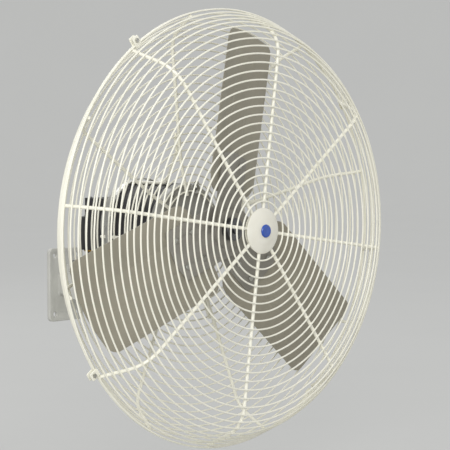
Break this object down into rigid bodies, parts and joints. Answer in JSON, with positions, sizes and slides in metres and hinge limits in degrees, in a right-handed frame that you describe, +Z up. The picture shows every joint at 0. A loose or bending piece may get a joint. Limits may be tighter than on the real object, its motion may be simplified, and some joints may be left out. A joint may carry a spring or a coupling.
{
  "type": "wall mounted oscillating fan",
  "caption": "Large caged propeller fan on a wall arm, with an oscillating gearbox head, a tilt joint, ring guards and paddle blades.",
  "frame": {"origin": "centre of the wall plate's rear face, level with the tilt joint and 132 mm below the propeller's axis", "axes": "+Z up, -Y the way the fan blows, +Y into the wall"},
  "size_m": [0.8126, 0.5632, 0.8126],
  "materials": {
    "guard_paint": "smooth warm white powder coat",
    "blade_metal": "satin taupe painted sheet",
    "spider_steel": "cool grey paint",
    "motor_paint": "smooth grey enamel",
    "mount_paint": "satin black powder coat",
    "bracket_paint": "light grey powder coat",
    "plated_steel": "zinc plated",
    "dark_steel": "oiled steel",
    "core_steel": "stacked laminations",
    "winding_copper": "varnished copper wire",
    "bronze": "plain bronze",
    "black_plastic": "moulded black plastic",
    "hub_blue": "gloss blue button",
    "can_metal": "drawn can",
    "neck_iron": "black paint on a casting"
  },
  "bodies": {
    "wall_bracket": {"wall_plate": "bracket_paint", "arm_gussets": "bracket_paint", "wall_arm": "bracket_paint", "arm_clevis": "bracket_paint", "tilt_pivot_bolt": "plated_steel", "tilt_washers": "plated_steel"},
    "tilt_lever": {"tilt_lever": "black_plastic"},
    "tilt_neck": {"neck_block": "neck_iron", "swivel_spindle": "dark_steel", "spindle_nut": "plated_steel", "thrust_washer": "bronze", "anchor_pin": "dark_steel"},
    "drive_link": {"crank_link": "plated_steel"},
    "fan_head": {"gearbox_housing": "mount_paint", "gearbox_screws": "plated_steel", "gearbox_cover": "mount_paint", "spindle_bushes": "bronze", "motor_shell": "mount_paint", "front_bell": "motor_paint", "rear_bell": "motor_paint", "stator_core": "core_steel", "stator_windings": "winding_copper", "motor_bearings": "dark_steel", "through_bolts": "plated_steel", "seat_clamps": "plated_steel", "seat_screws": "plated_steel", "front_guard_rings": "guard_paint", "front_shoulder_rings": "guard_paint", "front_guard_spokes": "guard_paint", "hub_disc": "guard_paint", "hub_backplate": "guard_paint", "hub_button": "hub_blue", "rear_guard_rings": "guard_paint", "rear_shoulder_rings": "guard_paint", "rear_guard_spokes": "guard_paint", "guard_stays": "guard_paint", "stay_band": "plated_steel", "rim_clamps": "guard_paint", "rim_clamp_screws": "plated_steel", "terminal_box": "motor_paint", "terminal_cover": "motor_paint", "cover_screws": "plated_steel", "capacitor": "can_metal", "cable_gland": "black_plastic"},
    "propeller": {"motor_shaft": "dark_steel", "rotor_core": "core_steel", "worm": "dark_steel", "prop_hub": "dark_steel", "hub_set_screws": "dark_steel", "blade_spider": "spider_steel", "blade_rivets": "plated_steel", "blade_1": "blade_metal", "blade_2": "blade_metal", "blade_3": "blade_metal"},
    "worm_wheel": {"worm_wheel": "bronze"},
    "pinion": {"pinion": "dark_steel"},
    "clutch_knob": {"clutch_knob": "black_plastic"},
    "crank": {"crank_gear": "dark_steel", "crank_disc": "dark_steel"},
    "speed_knob": {"speed_knob": "black_plastic"}
  },
  "joints": [
    {"name": "head_tilt", "type": "hinge", "parent": "wall_bracket", "child": "tilt_neck", "pos_m": [0, -0.09, 0], "axis": [1, 0, 0], "range_deg": [-10, 30]},
    {"name": "tilt_lever_turn", "type": "hinge", "parent": "wall_bracket", "child": "tilt_lever", "pos_m": [0.046, -0.09, 0], "axis": [-1, 0, 0], "range_deg": [0, 100]},
    {"name": "oscillation", "type": "hinge", "parent": "tilt_neck", "child": "fan_head", "pos_m": [0, -0.09, 0.132], "axis": [0, 0, 1], "range_deg": [-35, 35]},
    {"name": "link_swing", "type": "hinge", "parent": "tilt_neck", "child": "drive_link", "pos_m": [0.03593, -0.09218, 0.059], "axis": [0, 0, 1], "range_deg": [-30, 30]},
    {"name": "propeller_spin", "type": "hinge", "parent": "fan_head", "child": "propeller", "pos_m": [0, -0.46325, 0.132], "axis": [0, 1, 0], "continuous": true},
    {"name": "worm_wheel_spin", "type": "hinge", "parent": "fan_head", "child": "worm_wheel", "pos_m": [0.03385, -0.156, 0.132], "axis": [0, 0, 1], "continuous": true},
    {"name": "crank_turn", "type": "hinge", "parent": "fan_head", "child": "crank", "pos_m": [-0.004, -0.156, 0.0915], "axis": [0, 0, 1], "range_deg": [-91, 91]},
    {"name": "pinion_turn", "type": "hinge", "parent": "fan_head", "child": "pinion", "pos_m": [0.03385, -0.156, 0.0915], "axis": [0, 0, 1], "range_deg": [-361, 361]},
    {"name": "clutch_pull", "type": "slide", "parent": "pinion", "child": "clutch_knob", "axis": [0, 0, 1], "range_m": [0, 0.006]},
    {"name": "speed_knob_turn", "type": "hinge", "parent": "fan_head", "child": "speed_knob", "pos_m": [0.10262, -0.30337, 0.07155], "axis": [0.8616, 0, -0.5075], "range_deg": [0, 120]}
  ],
  "couplings": [
    {"joint": "worm_wheel_spin", "follows": "propeller_spin", "ratio": 0.027778},
    {"joint": "crank_turn", "follows": "oscillation", "ratio": -2.5714},
    {"joint": "pinion_turn", "follows": "oscillation", "ratio": 10.286},
    {"joint": "link_swing", "follows": "oscillation", "ratio": 0.8}
  ]
}
